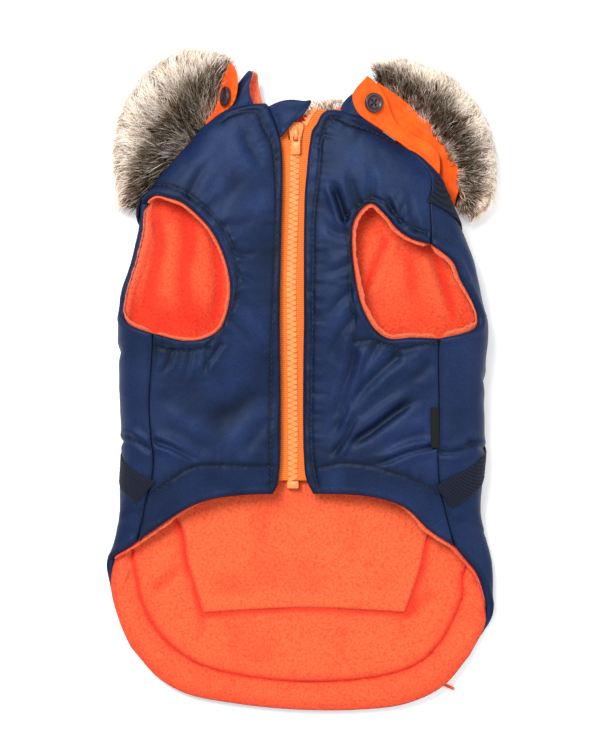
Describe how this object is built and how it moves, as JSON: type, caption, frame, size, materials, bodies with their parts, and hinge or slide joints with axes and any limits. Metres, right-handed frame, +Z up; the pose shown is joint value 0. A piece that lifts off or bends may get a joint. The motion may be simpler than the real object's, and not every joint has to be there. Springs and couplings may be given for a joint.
{
  "type": "dog vest",
  "caption": "Sleeveless padded dog vest with a zip front, fleece lining, drawcord tail hem and fur-edged hood, laid on its back with the hood folded under the shoulders.",
  "frame": {"origin": "on the surface that the vest lies on, under the middle of its box", "axes": "+Y to the neck, +Z up out of the belly side, +X to the wearer's left"},
  "size_m": [0.2233, 0.3751, 0.0343],
  "materials": {
    "navy_nylon": "padded nylon satin, fine plain weave",
    "coral_fleece": "pebbled polar fleece",
    "orange_cloth": "smooth woven lining cloth",
    "orange_cord": "braided drawcord",
    "fur": "long-pile imitation fur, dark at the roots and silver at the tips",
    "webbing": "ribbed polyester webbing",
    "label_tape": "plain woven label tape",
    "orange_tape": "knitted zip tape",
    "orange_resin": "moulded acetal zip teeth and slider",
    "button_resin": "turned polyester button, softly polished"
  },
  "bodies": {
    "vest": {"back_lining": "coral_fleece", "back_shell": "navy_nylon", "button_left": "button_resin", "button_right": "button_resin", "collar_lining": "coral_fleece", "collar_shell": "navy_nylon", "front_left_lining": "coral_fleece", "front_left_shell": "navy_nylon", "front_right_lining": "coral_fleece", "front_right_shell": "navy_nylon", "fur_left": "fur", "fur_nape": "fur", "fur_right": "fur", "hem_cord": "orange_cord", "hood_band_left": "orange_cloth", "hood_band_right": "orange_cloth", "hood_lining_left": "orange_cloth", "hood_shell": "navy_nylon", "side_label": "label_tape", "strap_a": "webbing", "strap_b": "webbing", "tail_band": "coral_fleece", "tail_lining": "coral_fleece", "zip_chain": "orange_resin", "zip_guard": "navy_nylon", "zip_slider": "orange_resin", "zip_stop": "orange_resin", "zip_tape_left": "orange_tape", "zip_tape_right": "orange_tape"},
    "pull_tab": {"zip_pull": "orange_resin"}
  },
  "joints": [
    {"name": "pull_hinge", "type": "hinge", "parent": "vest", "child": "pull_tab", "pos_m": [-0.0024, 0.1389, 0.02267], "axis": [-1, 0, 0], "range_deg": [0, 120]}
  ]
}
